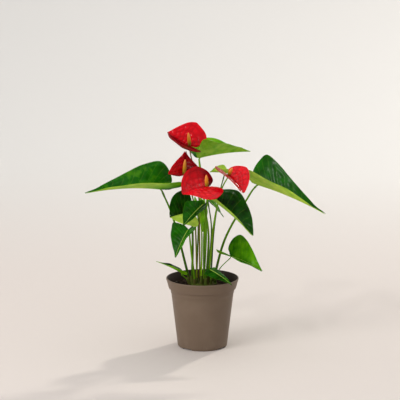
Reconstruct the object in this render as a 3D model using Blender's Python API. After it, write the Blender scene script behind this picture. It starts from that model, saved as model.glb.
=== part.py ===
"""Potted anthurium in a plain nursery pot.

Metres, +Z up.  The origin is the centre of the pot's flat underside, and the plant's
front faces -Y.  Each leaf blade, leaf stalk, spathe, spadix and flower stalk is its own
solid, and a gap of 0.3 mm keeps the solids that meet apart.
"""

import math
from collections import namedtuple

import bmesh
import bpy
from mathutils import Vector

MM = 0.001
GAP = 0.3 * MM

# Pot: a tapered wall under a taller, wider rim band, on four feet.
POT_HEIGHT = 116 * MM
RIM_RADIUS = 60 * MM
BAND_HEIGHT = 17 * MM
BAND_FOOT_RADIUS = 56 * MM
SHOULDER_RADIUS = 53 * MM
SHOULDER_DROP = 8 * MM
BASE_RADIUS = 41 * MM
WALL = 1.6 * MM
FLOOR_TOP = 4.5 * MM
FOOT_HEIGHT = 2.5 * MM
FOOT_COUNT = 4
FOOT_TURN = math.radians(6)
NOTCH_WIDTH = 19 * MM
NOTCH_REACH = 14 * MM
DRAIN_RADIUS = 3.5 * MM
DRAIN_RING = 33 * MM
POT_STEPS = 48

# Soil and crown.
SOIL_TOP = 105 * MM
SOIL_EDGE_DROP = 2 * MM
CROWN_RADIUS = 24 * MM
CROWN_TOP = 109 * MM

# Blades: rows run from the midrib to the margin, columns from the lobes to the tip.
LEAF_THICKNESS = 1.0 * MM
SPATHE_THICKNESS = 1.2 * MM
FULL_FOLD_WIDTH = 9.0 * MM
BLADE_ROWS = 12
BLADE_COLUMNS = 8
STALK_POINTS = 9
STALK_CLEARANCE = 1.4 * MM
STALK_LIFT = 1.0 * MM

# Half outlines as (reach along the midrib, reach sideways), both 1 at their largest.
LEAF_OUTLINE = (
    (-0.13, 0.08), (-0.28, 0.34), (-0.25, 0.72), (-0.06, 1.00), (0.16, 0.84),
    (0.38, 0.55), (0.60, 0.30), (0.81, 0.11), (1.00, 0.03),
)
ROUND_OUTLINE = (
    (-0.13, 0.08), (-0.27, 0.34), (-0.21, 0.72), (0.05, 1.00), (0.32, 0.98),
    (0.57, 0.83), (0.78, 0.55), (0.92, 0.24), (1.00, 0.03),
)

FULL_WIDTH_REACH = 0.2

# foot: where the stalk joins; tip: the pointed end; width: across both halves laid flat.
# fold: rise of the left and right half from the midrib, seen from foot to tip.
# curl: extra turn of each half by its margin; arch: turn of the midrib from foot to tip.
# full: 0 for a tapering outline, 1 for a round one; lobe: length of the lobes behind
# the foot; base: share of the width that is reached beside the foot.
# Lengths in mm, angles in degrees.
Blade = namedtuple("Blade", "name foot tip width fold curl arch full lobe base", defaults=(1,))

LEAVES = (
    Blade("leaf_far_left", (-66, 0, 264), (-188, -58, 268), 108, (20, 56), (5, -15), 16, 0.1, 0.55),
    Blade("leaf_top_right", (-6, 45, 309), (81, 90, 313), 104, (34, 45), (10, -10), 12, 0.25, 0.35),
    Blade("leaf_small_top", (37, 30, 286), (12, 18, 290), 32, (30, 50), (0, 0), 10, 0.5, 0.6),
    Blade("leaf_far_right", (90, 30, 267), (200, -22, 227), 106, (66, 34), (-10, 5), 12, 0, 0.4),
    Blade("leaf_front_right", (9, -12, 254), (81, -66, 200), 76, (52, 31), (-5, 8), 14, 0.9, 0.4, 0.45),
    Blade("leaf_back_centre", (-6, 45, 229), (1, 50, 182), 36, (10, 10), (0, 0), 10, 0.5, 1),
    Blade("leaf_back_right", (11, 34, 239), (36, 48, 208), 32, (45, -20), (0, 0), 10, 0.5, 0.6),
    Blade("leaf_low_right", (47, 0, 152), (97, -45, 137), 78, (62, 14), (-5, 20), 14, 0.3, 0.6),
    Blade("leaf_upper_left", (-19, -4, 225), (-53, -16, 220), 80, (-20, 60), (0, 0), 16, 1, 0.5),
    Blade("leaf_hanging_left", (-23, -44, 206), (-44, -62, 163), 68, (24, 24), (0, -20), 20, 0.3, 0.25),
    Blade("leaf_slanting", (2, -44, 248), (-31, -66, 216), 58, (12, 25), (0, 0), 16, 0.6, 0.3, 0.4),
    Blade("leaf_low_left", (-33, -14, 126), (-75, -34, 151), 26, (15, 25), (0, 0), 10, 0.5, 0.3),
    Blade("leaf_over_rim", (12, -24, 135), (48, -54, 116), 26, (0, -35), (0, 0), 14, 0.5, 0.2),
)

SPATHES = (
    Blade("spathe_top", (-21, 20, 333), (-57, 26, 355), 78, (2, 62), (0, 20), -20, 1, 1.9),
    Blade("spathe_middle", (-30, -2, 288), (-28, 22, 324), 72, (50, 20), (0, 0), 40, 0, 0.2),
    Blade("spathe_front", (7, -48, 277), (-32, -70, 270), 78, (-4, 24), (-30, 60), 10, 1, 1.5),
    Blade("spathe_right", (42, -18, 290), (67, -58, 269), 66, (20, 32), (10, 0), 10, 0.7, 1),
)

# Stalks: where each stands on the crown, points on its way up, and its radius at each end.
Stalk = namedtuple("Stalk", "name base way radius")

PETIOLES = (
    Stalk("petiole_far_left", (-21, 2), ((-47, 0, 212),), (2.6, 1.5)),
    Stalk("petiole_top_right", (2, 9), ((6, 10, 190), (2, 16, 250)), (2.4, 1.5)),
    Stalk("petiole_small_top", (14, 11), ((19, 17, 190), (28, 24, 250)), (1.6, 1.0)),
    Stalk("petiole_far_right", (18, 3), ((38, 10, 180), (77, 22, 249)), (2.6, 1.5)),
    Stalk("petiole_front_right", (3, -8), ((3, -4, 190),), (2.6, 1.6)),
    Stalk("petiole_back_centre", (-10, 8), ((-7, 18, 190),), (1.8, 1.1)),
    Stalk("petiole_back_right", (8, 8), ((15, 11, 190),), (1.8, 1.1)),
    Stalk("petiole_low_right", (20, -6), ((28, -2, 130),), (1.2, 0.8)),
    Stalk("petiole_upper_left", (-17, -8), ((-16, -9, 190),), (2.6, 1.6)),
    Stalk("petiole_hanging_left", (-12, -15), ((-19, -21, 170),), (2.2, 1.3)),
    Stalk("petiole_slanting", (6, -15), ((10, -30, 190),), (2.6, 1.6)),
    Stalk("petiole_low_left", (-20, -10), ((-27, -12, 117),), (1.4, 1.0)),
    Stalk("petiole_over_rim", (14, -13), ((14, -18, 122),), (1.4, 1.0)),
)

PEDUNCLES = (
    Stalk("peduncle_top", (-4, 1), ((-5, 8, 190), (-6, 8, 250)), (1.7, 1.1)),
    Stalk("peduncle_middle", (-9, -7), ((-11, -4, 190), (-15, -4, 246)), (1.7, 1.1)),
    Stalk("peduncle_front", (-2, -16), ((-1, -18, 190), (-4, -30, 246)), (1.7, 1.2)),
    Stalk("peduncle_right", (10, -3), ((18, 0, 200), (30, -3, 260)), (1.9, 1.2)),
)

# Spadices: the tip of each one, from the foot of its spathe.
SPADIX_RADIUS = 2.8 * MM
SPADIX_CLEARANCE = 4.5 * MM
SPADIX_TAPER = (0.80, 0.98, 1.00, 0.96, 0.86, 0.66, 0.30)
SPADICES = (
    ("spadix_top", "spathe_top", (-23, 6, 356)),
    ("spadix_middle", "spathe_middle", (-28, -20, 316)),
    ("spadix_front", "spathe_front", (6, -58, 297)),
    ("spadix_right", "spathe_right", (48, -26, 303)),
)

COLOURS = {
    "pot": ((0.150, 0.105, 0.072), 0.42),
    "soil": ((0.018, 0.011, 0.007), 0.95),
    "leaf": ((0.020, 0.100, 0.008), 0.35),
    "petiole": ((0.120, 0.180, 0.020), 0.45),
    "peduncle": ((0.160, 0.070, 0.020), 0.45),
    "spathe": ((0.560, 0.003, 0.008), 0.18),
    "spadix": ((0.650, 0.300, 0.040), 0.55),
}


def clear_scene():
    for thing in list(bpy.data.objects):
        bpy.data.objects.remove(thing, do_unlink=True)


def make_materials():
    finished = {}
    for kind, (colour, roughness) in COLOURS.items():
        material = bpy.data.materials.new(kind)
        material.use_nodes = True
        shader = material.node_tree.nodes["Principled BSDF"]
        shader.inputs["Base Color"].default_value = (*colour, 1.0)
        shader.inputs["Roughness"].default_value = roughness
        shader.inputs["Metallic"].default_value = 0.0
        material.diffuse_color = (*colour, 1.0)
        finished[kind] = material
    return finished


def add_object(name, data, material):
    thing = bpy.data.objects.new(name, data)
    thing.data.materials.append(material)
    bpy.context.scene.collection.objects.link(thing)
    return thing


def mesh_object(name, bm, material):
    mesh = bpy.data.meshes.new(name)
    bm.to_mesh(mesh)
    bm.free()
    mesh.shade_smooth()
    mesh.set_sharp_from_angle(angle=math.radians(35))
    return add_object(name, mesh, material)


def smooth_curve(points, place):
    """The point of a Catmull-Rom curve through the points, place running from 0 to 1."""
    spans = len(points) - 1
    index = min(int(place * spans), spans - 1)
    t = place * spans - index
    before = points[index - 1] if index else points[0] * 2 - points[1]
    start, end = points[index], points[index + 1]
    after = points[index + 2] if index + 2 <= spans else end * 2 - start
    return 0.5 * (
        start * 2 + (end - before) * t
        + (before * 2 - start * 5 + end * 4 - after) * t ** 2
        + (start * 3 - before - end * 3 + after) * t ** 3
    )


# --- pot, soil and crown -------------------------------------------------------------


def turned(name, profile, steps, material):
    """A closed solid turned about Z from an outline that starts and ends on the axis."""
    bm = bmesh.new()
    verts = [bm.verts.new((radius, 0.0, height)) for radius, height in profile]
    edges = [bm.edges.new(pair) for pair in zip(verts, verts[1:])]
    bmesh.ops.spin(
        bm, geom=verts + edges, cent=(0, 0, 0), axis=(0, 0, 1),
        angle=math.tau, steps=steps, use_merge=True,
    )
    bmesh.ops.remove_doubles(bm, verts=bm.verts, dist=0.01 * MM)
    bmesh.ops.recalc_face_normals(bm, faces=bm.faces)
    return mesh_object(name, bm, material)


def pot_outside():
    """The outer outline, from the middle of the underside up to the rim's outer edge."""
    band_foot = POT_HEIGHT - BAND_HEIGHT
    shoulder = band_foot - SHOULDER_DROP
    return [
        (0.0, 0.0),
        (BASE_RADIUS - 14 * MM, 0.0),
        (BASE_RADIUS - 1.2 * MM, 0.0),
        (BASE_RADIUS, 1.4 * MM),
        (SHOULDER_RADIUS - 1.4 * MM, shoulder),
        (SHOULDER_RADIUS - 0.8 * MM, shoulder + 0.8 * MM),
        (SHOULDER_RADIUS, band_foot),
        (BAND_FOOT_RADIUS - 0.5 * MM, band_foot),
        (BAND_FOOT_RADIUS, band_foot + 0.8 * MM),
        (RIM_RADIUS - 0.3 * MM, POT_HEIGHT - 2.0 * MM),
        (RIM_RADIUS, POT_HEIGHT - 0.9 * MM),
        (RIM_RADIUS - 0.7 * MM, POT_HEIGHT),
    ]


def pot_inside():
    """The inner outline, from the rim's inner edge down to the middle of the floor."""
    ledge = POT_HEIGHT - BAND_HEIGHT + WALL
    shoulder = POT_HEIGHT - BAND_HEIGHT - SHOULDER_DROP
    return [
        (RIM_RADIUS - 1.7 * MM, POT_HEIGHT),
        (RIM_RADIUS - 2.3 * MM, POT_HEIGHT - 0.8 * MM),
        (BAND_FOOT_RADIUS - WALL, ledge + 0.8 * MM),
        (SHOULDER_RADIUS - WALL, ledge),
        (SHOULDER_RADIUS - 1.4 * MM - WALL, shoulder),
        (BASE_RADIUS - WALL, FLOOR_TOP),
        (0.0, FLOOR_TOP),
    ]


def cut(target, cutter):
    cutter.hide_render = True
    cutter.display_type = "WIRE"
    modifier = target.modifiers.new(cutter.name, "BOOLEAN")
    modifier.operation = "DIFFERENCE"
    modifier.solver = "EXACT"
    modifier.object = cutter


def around(count, turn):
    """Directions of count places round the pot, the first one facing the front."""
    angles = [turn - math.pi / 2 + math.tau * step / count for step in range(count)]
    return [Vector((math.cos(angle), math.sin(angle), 0.0)) for angle in angles]


def notch_cutter(material):
    """Four blocks that part the foot ring into its feet."""
    bm = bmesh.new()
    turn = FOOT_TURN + math.pi / FOOT_COUNT
    for out in around(FOOT_COUNT, turn):
        side = Vector((-out.y, out.x, 0.0))
        block = bmesh.ops.create_cube(bm, size=1.0)["verts"]
        for vert in block:
            radial = BASE_RADIUS + (vert.co.x - 0.5) * NOTCH_REACH + 2 * MM
            level = -1 * MM if vert.co.z < 0 else FOOT_HEIGHT
            vert.co = out * radial + side * (vert.co.y * NOTCH_WIDTH) + Vector((0, 0, level))
    return mesh_object("notch_cutter", bm, material)


def drain_cutter(material):
    """Four round holes through the floor, one over each notch."""
    bm = bmesh.new()
    turn = FOOT_TURN + math.pi / FOOT_COUNT
    for out in around(FOOT_COUNT, turn):
        hole = bmesh.ops.create_cone(
            bm, cap_ends=True, segments=16, radius1=DRAIN_RADIUS,
            radius2=DRAIN_RADIUS, depth=2 * FLOOR_TOP,
        )["verts"]
        bmesh.ops.translate(bm, verts=hole, vec=out * DRAIN_RING + Vector((0, 0, FLOOR_TOP)))
    return mesh_object("drain_cutter", bm, material)


def make_pot(material):
    pot = turned("pot", pot_outside() + pot_inside(), POT_STEPS, material)
    cut(pot, notch_cutter(material))
    cut(pot, drain_cutter(material))


def inner_radius(height):
    """Inner radius of the pot's wall at a height."""
    walls = pot_inside()[::-1][1:]
    for (low_radius, low), (high_radius, high) in zip(walls, walls[1:]):
        if low <= height <= high:
            return low_radius + (high_radius - low_radius) * (height - low) / (high - low)
    return walls[-1][0]


def make_soil(material):
    floor = FLOOR_TOP + GAP
    shoulder = POT_HEIGHT - BAND_HEIGHT - SHOULDER_DROP
    ledge = POT_HEIGHT - BAND_HEIGHT + WALL
    edge_top = SOIL_TOP - SOIL_EDGE_DROP
    profile = [
        (0.0, floor),
        (inner_radius(floor) - GAP, floor),
        (inner_radius(shoulder) - GAP, shoulder),
        (inner_radius(ledge) - GAP, ledge + GAP),
        (inner_radius(edge_top) - GAP, edge_top),
        (CROWN_RADIUS + 12 * MM, SOIL_TOP - 0.5 * MM),
        (CROWN_RADIUS + 4 * MM, SOIL_TOP),
        (0.0, SOIL_TOP),
    ]
    turned("potting_soil", profile, 40, material)


def make_crown(material):
    """The short rooted stem that all the stalks rise from."""
    foot = SOIL_TOP + GAP
    profile = [
        (0.0, foot),
        (CROWN_RADIUS - 1 * MM, foot),
        (CROWN_RADIUS, foot + 1 * MM),
        (CROWN_RADIUS - 1.5 * MM, CROWN_TOP - 0.5 * MM),
        (CROWN_RADIUS - 2.5 * MM, CROWN_TOP),
        (0.0, CROWN_TOP),
    ]
    turned("crown", profile, 24, material)


# --- blades --------------------------------------------------------------------------


def blade_axes(blade):
    """Foot, chord length and the directions along, to the left of and up from the blade."""
    foot = Vector(blade.foot) * MM
    chord = Vector(blade.tip) * MM - foot
    along = chord.normalized()
    up = Vector((0, 0, 1))
    up = (up - along * up.dot(along)).normalized()
    return foot, chord.length, along, up.cross(along), up


def blade_outline(blade):
    """The blade's half outline as vectors, between the tapering and the round one."""
    points = []
    for tapered, rounded in zip(LEAF_OUTLINE, ROUND_OUTLINE):
        reach, side = Vector(tapered).lerp(Vector(rounded), blade.full)
        if reach < 0:
            reach *= blade.lobe
        if reach < FULL_WIDTH_REACH:
            side *= blade.base
        points.append(Vector((reach, side, 0.0)))
    return points


def arc(place, chord, arch):
    """Reach, rise and slope at a place along a midrib that turns by arch in all."""
    half = 0.5 * arch or 1e-4
    radius = 0.5 * chord / math.sin(half)
    on_midrib = min(max(place, 0.0), 1.0)
    slope = half * (1 - 2 * on_midrib)
    beyond = (place - on_midrib) * 2 * half * radius
    reach = radius * (math.sin(half) - math.sin(slope)) + beyond * math.cos(slope)
    rise = radius * (math.cos(slope) - math.cos(half)) + beyond * math.sin(slope)
    return reach, rise, slope


def half_section(distance, half_width, fold, curl):
    """Sideways reach and rise of a half blade at a distance from its midrib."""
    turn = (curl or 1e-4) / half_width
    angle = fold + turn * distance
    side = (math.sin(angle) - math.sin(fold)) / turn
    rise = (math.cos(fold) - math.cos(angle)) / turn
    return side, rise


def blade_point(blade, outline, column, row):
    """A point of the blade: column -1 to 1 from the left margin to the right one,
    row 0 to 1 from the notch between the lobes to the tip."""
    foot, chord, along, left, up = blade_axes(blade)
    margin = smooth_curve(outline, row)
    across = abs(column)
    place = (1 - across) * row ** 2.2 + across * margin.x - 0.25 * across * (1 - across) * row
    half_width = 0.5 * blade.width * MM
    distance = across * margin.y * half_width
    side = 0 if column < 0 else 1
    folded = min(1.0, margin.y * half_width / FULL_FOLD_WIDTH)
    fold = math.radians(blade.fold[side]) * folded
    curl = math.radians(blade.curl[side])
    sideways, rise = half_section(distance, half_width, fold, curl)
    reach, midrib_rise, slope = arc(place, chord, math.radians(blade.arch))
    normal = up * math.cos(slope) - along * math.sin(slope)
    return (
        foot + along * reach + up * midrib_rise
        + left * (sideways if column < 0 else -sideways) + normal * rise
    )


def make_blade(blade, thickness, material):
    outline = blade_outline(blade)
    bm = bmesh.new()
    bmesh.ops.create_grid(bm, x_segments=BLADE_COLUMNS, y_segments=BLADE_ROWS, size=1.0)
    for vert in bm.verts:
        vert.co = blade_point(blade, outline, vert.co.x, 0.5 + 0.5 * vert.co.y)
    bmesh.ops.remove_doubles(bm, verts=bm.verts, dist=0.05 * MM)
    solid = mesh_object(blade.name, bm, material)
    shell = solid.modifiers.new("thickness", "SOLIDIFY")
    shell.thickness = thickness
    shell.offset = 0.0


# --- stalks and spadices -------------------------------------------------------------


def tube(name, points, radii, bevel_resolution, material):
    """A round rod along the points, with a radius at each of them."""
    curve = bpy.data.curves.new(name, "CURVE")
    curve.dimensions = "3D"
    curve.bevel_depth = 1.0
    curve.bevel_resolution = bevel_resolution
    curve.use_fill_caps = True
    spline = curve.splines.new("POLY")
    spline.points.add(len(points) - 1)
    for spot, point, radius in zip(spline.points, points, radii):
        spot.co = (*point, 1.0)
        spot.radius = radius
    return add_object(name, curve, material)


def make_stalk(stalk, blade, material):
    """A stalk from the crown to just under the foot of its blade."""
    foot, _, along, _, up = blade_axes(blade)
    slope = 0.5 * math.radians(blade.arch)
    normal = up * math.cos(slope) - along * math.sin(slope)
    base = Vector((*stalk.base, 0.0)) * MM
    base.z = CROWN_TOP + STALK_LIFT
    middle = [Vector(point) * MM for point in stalk.way]
    low_radius, high_radius = [radius * MM for radius in stalk.radius]
    end = foot - normal * (STALK_CLEARANCE + high_radius)
    waypoints = [base, *middle, end]
    places = [step / (STALK_POINTS - 1) for step in range(STALK_POINTS)]
    points = [smooth_curve(waypoints, place) for place in places]
    radii = [low_radius + (high_radius - low_radius) * place for place in places]
    tube(stalk.name, points, radii, 1, material)


def make_spadix(name, blade, tip, material):
    foot = Vector(blade.foot) * MM
    end = Vector(tip) * MM
    base = foot + (end - foot).normalized() * SPADIX_CLEARANCE
    count = len(SPADIX_TAPER) - 1
    points = [base.lerp(end, step / count) for step in range(count + 1)]
    radii = [SPADIX_RADIUS * share for share in SPADIX_TAPER]
    tube(name, points, radii, 2, material)


def main():
    clear_scene()
    materials = make_materials()
    make_pot(materials["pot"])
    make_soil(materials["soil"])
    make_crown(materials["petiole"])
    for leaf, petiole in zip(LEAVES, PETIOLES):
        make_blade(leaf, LEAF_THICKNESS, materials["leaf"])
        make_stalk(petiole, leaf, materials["petiole"])
    for spathe, peduncle in zip(SPATHES, PEDUNCLES):
        make_blade(spathe, SPATHE_THICKNESS, materials["spathe"])
        make_stalk(peduncle, spathe, materials["peduncle"])
    blades = {blade.name: blade for blade in SPATHES}
    for name, spathe, tip in SPADICES:
        make_spadix(name, blades[spathe], tip, materials["spadix"])


main()
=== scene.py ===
"""Looks of a potted anthurium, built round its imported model: leaves, stalks, spathes,
spadices, crown, soil, pot and a studio stage."""

import math
import random
from collections import namedtuple

import bmesh
import bpy
from bpy.props import FloatProperty, FloatVectorProperty, IntProperty, PointerProperty
from mathutils import Matrix, Vector, noise


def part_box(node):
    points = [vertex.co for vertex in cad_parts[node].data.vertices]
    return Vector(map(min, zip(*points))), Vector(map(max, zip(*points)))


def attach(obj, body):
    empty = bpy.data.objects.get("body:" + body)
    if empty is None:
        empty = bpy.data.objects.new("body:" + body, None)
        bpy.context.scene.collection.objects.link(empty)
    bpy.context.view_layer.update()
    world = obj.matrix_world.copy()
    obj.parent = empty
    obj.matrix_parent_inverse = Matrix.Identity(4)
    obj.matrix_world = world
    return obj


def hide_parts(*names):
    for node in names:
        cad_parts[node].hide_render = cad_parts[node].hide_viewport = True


bl_info = {
    "name": "Potted Anthurium",
    "version": (1, 0, 0),
    "blender": (4, 5, 0),
    "location": "View3D > Sidebar > Anthurium",
    "description": "Builds a potted anthurium round its packed model",
    "category": "Object",
}

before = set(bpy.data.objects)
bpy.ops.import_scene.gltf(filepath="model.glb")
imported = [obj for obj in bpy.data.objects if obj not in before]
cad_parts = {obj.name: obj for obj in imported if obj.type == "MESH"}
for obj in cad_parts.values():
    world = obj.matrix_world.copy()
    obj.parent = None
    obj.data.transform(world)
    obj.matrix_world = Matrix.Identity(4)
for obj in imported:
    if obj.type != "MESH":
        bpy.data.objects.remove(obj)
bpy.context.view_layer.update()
MM = 0.001
BODY = "root"
UP = Vector((0, 0, 1))

POT_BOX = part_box("pot")
SOIL_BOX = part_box("potting_soil")
CROWN_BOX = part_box("crown")

# --- the plant -----------------------------------------------------------------------

# foot: where the stalk joins; tip: the pointed end; width: across both halves laid flat.
# fold: rise of the left and right half from the midrib, seen from foot to tip.
# curl: extra turn of each half by its margin; arch: turn of the midrib from foot to tip.
# full: 0 for a tapering outline, 1 for a round one; lobe: length of the lobes behind
# the foot; base: share of the width that is reached beside the foot.
# Lengths in mm, angles in degrees.
Blade = namedtuple("Blade", "name foot tip width fold curl arch full lobe base", defaults=(1,))

LEAVES = (
    Blade("leaf_far_left", (-66, 0, 264), (-188, -58, 268), 108, (20, 56), (5, -15), 16, 0.1, 0.55),
    Blade("leaf_top_right", (-6, 45, 309), (81, 90, 313), 104, (34, 45), (10, -10), 12, 0.25, 0.35),
    Blade("leaf_small_top", (37, 30, 286), (12, 18, 290), 32, (30, 50), (0, 0), 10, 0.5, 0.6),
    Blade("leaf_far_right", (90, 30, 267), (200, -22, 227), 106, (66, 34), (-10, 5), 12, 0, 0.4),
    Blade("leaf_front_right", (9, -12, 254), (81, -66, 200), 76, (52, 31), (-5, 8), 14, 0.9, 0.4, 0.45),
    Blade("leaf_back_centre", (-6, 45, 229), (1, 50, 182), 36, (10, 10), (0, 0), 10, 0.5, 1),
    Blade("leaf_back_right", (11, 34, 239), (36, 48, 208), 32, (45, -20), (0, 0), 10, 0.5, 0.6),
    Blade("leaf_low_right", (47, 0, 152), (97, -45, 137), 78, (62, 14), (-5, 20), 14, 0.3, 0.6),
    Blade("leaf_upper_left", (-19, -4, 225), (-53, -16, 220), 80, (-20, 60), (0, 0), 16, 1, 0.5),
    Blade("leaf_hanging_left", (-23, -44, 206), (-44, -62, 163), 68, (24, 24), (0, -20), 20, 0.3, 0.25),
    Blade("leaf_slanting", (2, -44, 248), (-31, -66, 216), 58, (12, 25), (0, 0), 16, 0.6, 0.3, 0.4),
    Blade("leaf_low_left", (-33, -14, 126), (-75, -34, 151), 26, (15, 25), (0, 0), 10, 0.5, 0.3),
    Blade("leaf_over_rim", (12, -24, 135), (48, -54, 116), 26, (0, -35), (0, 0), 14, 0.5, 0.2),
)

SPATHES = (
    Blade("spathe_top", (-21, 20, 333), (-57, 26, 355), 78, (2, 62), (0, 20), -20, 1, 1.9),
    Blade("spathe_middle", (-30, -2, 288), (-28, 22, 324), 72, (50, 20), (0, 0), 40, 0, 0.2),
    Blade("spathe_front", (7, -48, 277), (-32, -70, 270), 78, (-4, 24), (-30, 60), 10, 1, 1.5),
    Blade("spathe_right", (42, -18, 290), (67, -58, 269), 66, (20, 32), (10, 0), 10, 0.7, 1),
)

# Stalks: where each stands on the crown, points on its way up, its radius at each end,
# and its tone, which paints light and shade: shaded green at 0 and lit green at 1; a flower
# stalk runs from reddish at 0 to lit green at 1.
Stalk = namedtuple("Stalk", "name base way radius tone")

PETIOLES = (
    Stalk("petiole_far_left", (-21, 2), ((-47, 0, 212),), (2.6, 1.5), 0.30),
    Stalk("petiole_top_right", (2, 9), ((6, 10, 190), (2, 16, 250)), (2.4, 1.5), 0.85),
    Stalk("petiole_small_top", (14, 11), ((19, 17, 190), (28, 24, 250)), (1.6, 1.0), 0.15),
    Stalk("petiole_far_right", (18, 3), ((38, 10, 180), (77, 22, 249)), (2.6, 1.5), 0.55),
    Stalk("petiole_front_right", (3, -8), ((3, -4, 190),), (2.6, 1.6), 0.62),
    Stalk("petiole_back_centre", (-10, 8), ((-7, 18, 190),), (1.8, 1.1), 0.12),
    Stalk("petiole_back_right", (8, 8), ((15, 11, 190),), (1.8, 1.1), 0.15),
    Stalk("petiole_low_right", (20, -6), ((28, -2, 130),), (1.2, 0.8), 0.50),
    Stalk("petiole_upper_left", (-17, -8), ((-16, -9, 190),), (2.6, 1.6), 0.22),
    Stalk("petiole_hanging_left", (-12, -15), ((-19, -21, 170),), (2.2, 1.3), 0.62),
    Stalk("petiole_slanting", (6, -15), ((10, -30, 190),), (2.6, 1.6), 0.30),
    Stalk("petiole_low_left", (-20, -10), ((-27, -12, 117),), (1.4, 1.0), 0.35),
    Stalk("petiole_over_rim", (14, -13), ((14, -18, 122),), (1.4, 1.0), 0.60),
)

PEDUNCLES = (
    Stalk("peduncle_top", (-4, 1), ((-5, 8, 190), (-6, 8, 250)), (1.7, 1.1), 0.15),
    Stalk("peduncle_middle", (-9, -7), ((-11, -4, 190), (-15, -4, 246)), (1.7, 1.1), 0.30),
    Stalk("peduncle_front", (-2, -16), ((-1, -18, 190), (-4, -30, 246)), (1.7, 1.2), 0.85),
    Stalk("peduncle_right", (10, -3), ((18, 0, 200), (30, -3, 260)), (1.9, 1.2), 0.80),
)

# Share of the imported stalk's radius that the finished stalk has.
BARE_STALK = 0.84

# Spadices: the tip of each one, from the foot of its spathe.
SPADICES = (
    ("spadix_top", "spathe_top", (-23, 6, 356)),
    ("spadix_middle", "spathe_middle", (-28, -20, 316)),
    ("spadix_front", "spathe_front", (6, -58, 297)),
    ("spadix_right", "spathe_right", (48, -26, 303)),
)
SPADIX_RADIUS = 2.8 * MM
SPADIX_TAPER = (0.80, 0.98, 1.00, 0.96, 0.86, 0.66, 0.30)
SPADIX_FOOT_GAP = 1.5 * MM

# Half outlines as (reach along the midrib, reach sideways), both 1 at their largest.
LEAF_OUTLINE = (
    (-0.13, 0.08), (-0.28, 0.34), (-0.25, 0.72), (-0.06, 1.00), (0.16, 0.84),
    (0.38, 0.55), (0.60, 0.30), (0.81, 0.11), (1.00, 0.03),
)
ROUND_OUTLINE = (
    (-0.13, 0.08), (-0.27, 0.34), (-0.21, 0.72), (0.05, 1.00), (0.32, 0.98),
    (0.57, 0.83), (0.78, 0.55), (0.92, 0.24), (1.00, 0.03),
)

# The reach up to which base narrows an outline; the distance from the midrib at which a
# half has its full fold; the radians that stand for no curl; how closely the rows are
# set near the foot; and how far they bow back between midrib and margin.
FULL_WIDTH_REACH = 0.2
FULL_FOLD_WIDTH = 9.0 * MM
NO_CURL = 1e-4
ROW_CROWDING = 2.2
ROW_BOW = 0.25

# Tone of each leaf's left and right half, which paints the light and shade on it, from
# shaded dark green at 0 to the pale green of a thin blade with light behind it at 1; the
# height of its margin's waves in mm; and how much painted shade darkens each half at its lobe.
LEAF_LOOKS = {
    "leaf_far_left": (0.86, 0.32, 2.0, (0.95, 0.05)),
    "leaf_top_right": (0.66, 0.68, 4.0, (0.45, 0.0)),
    "leaf_small_top": (1.00, 0.92, 0.6, (0.0, 0.0)),
    "leaf_far_right": (0.24, 0.90, 2.0, (0.0, 0.1)),
    "leaf_front_right": (0.14, 0.84, 1.0, (0.0, 0.0)),
    "leaf_back_centre": (0.56, 0.50, 0.8, (0.0, 0.0)),
    "leaf_back_right": (0.52, 0.30, 0.8, (0.0, 0.0)),
    "leaf_low_right": (0.50, 0.40, 1.2, (0.1, -0.5)),
    # The pale left half of leaf_upper_left is a painted highlight.
    "leaf_upper_left": (1.00, 0.12, 1.0, (0.1, 0.0)),
    "leaf_hanging_left": (0.36, 0.26, 1.4, (0.1, 0.1)),
    "leaf_slanting": (0.12, 0.20, 0.8, (0.0, -0.2)),
    "leaf_low_left": (0.60, 0.16, 0.6, (0.0, 0.0)),
    "leaf_over_rim": (0.34, 0.14, 0.6, (0.0, 0.0)),
}

# Tone of each spathe's left and right half, which paints the light and shade on it, from
# shaded maroon at 0 to lit bright red at 1, and how much painted shade darkens each half at its lobe.
SPATHE_LOOKS = {
    "spathe_top": (0.25, 1.0, (0.0, 0.1)),
    "spathe_middle": (1.0, 0.35, (0.1, 0.0)),
    "spathe_front": (1.0, 0.78, (0.1, 0.75)),
    "spathe_right": (1.0, 0.60, (0.0, 0.0)),
}

# A leaf's side veins, and the width of each as a share of the space between two.
SIDE_VEINS = 11
SIDE_VEIN_SLANT = 0.16
SIDE_VEIN_WIDTH = 0.22

# The quilting of a spathe between its main veins.
QUILT_COLUMNS = 3.5
QUILT_ROWS = 8

# Depth and width of the groove along a midrib, and height of the lumps of a leaf and of
# the waves of a spathe's margin.
LEAF_GROOVE = (0.5 * MM, 1.6 * MM)
SPATHE_GROOVE = (0.7 * MM, 1.8 * MM)
LEAF_LUMPS = 0.5 * MM
SPATHE_WAVES = 0.9 * MM

# Faces across and along a blade.
LEAF_GRID = (64, 72)
SPATHE_GRID = (96, 112)


# --- settings ------------------------------------------------------------------------


def size(name, description, default, low=0.0, high=1.0):
    """A setting for a length, in metres."""
    return FloatProperty(
        name=name, description=description, default=default, min=low, max=high,
        subtype="DISTANCE", unit="LENGTH", precision=5,
    )


def colour(name, description, default):
    """A setting for a colour, as linear red, green and blue."""
    return FloatVectorProperty(
        name=name, description=description, default=default, size=3,
        min=0.0, max=1.0, subtype="COLOR",
    )


class LeafSettings(bpy.types.PropertyGroup):
    thickness: size("Blade thickness", "Thickness of a leaf blade", 0.55 * MM)
    vein_relief: size("Vein relief", "Depth of the side veins in a blade", 0.45 * MM)
    # dark, bright and pale paint light and shade: a leaf in shade, a lit leaf, a blade with light
    # behind it.
    dark: colour("Shaded green", "Upper face of a leaf in shade", (0.004, 0.022, 0.001))
    green: colour("Green", "Upper face of a leaf", (0.010, 0.125, 0.001))
    bright: colour("Bright green", "Young or lit leaf", (0.150, 0.420, 0.001))
    pale: colour("Pale green", "Thin blade with light behind it", (0.500, 0.680, 0.080))
    vein: colour("Vein", "Midrib and side veins", (0.380, 0.560, 0.080))


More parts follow.
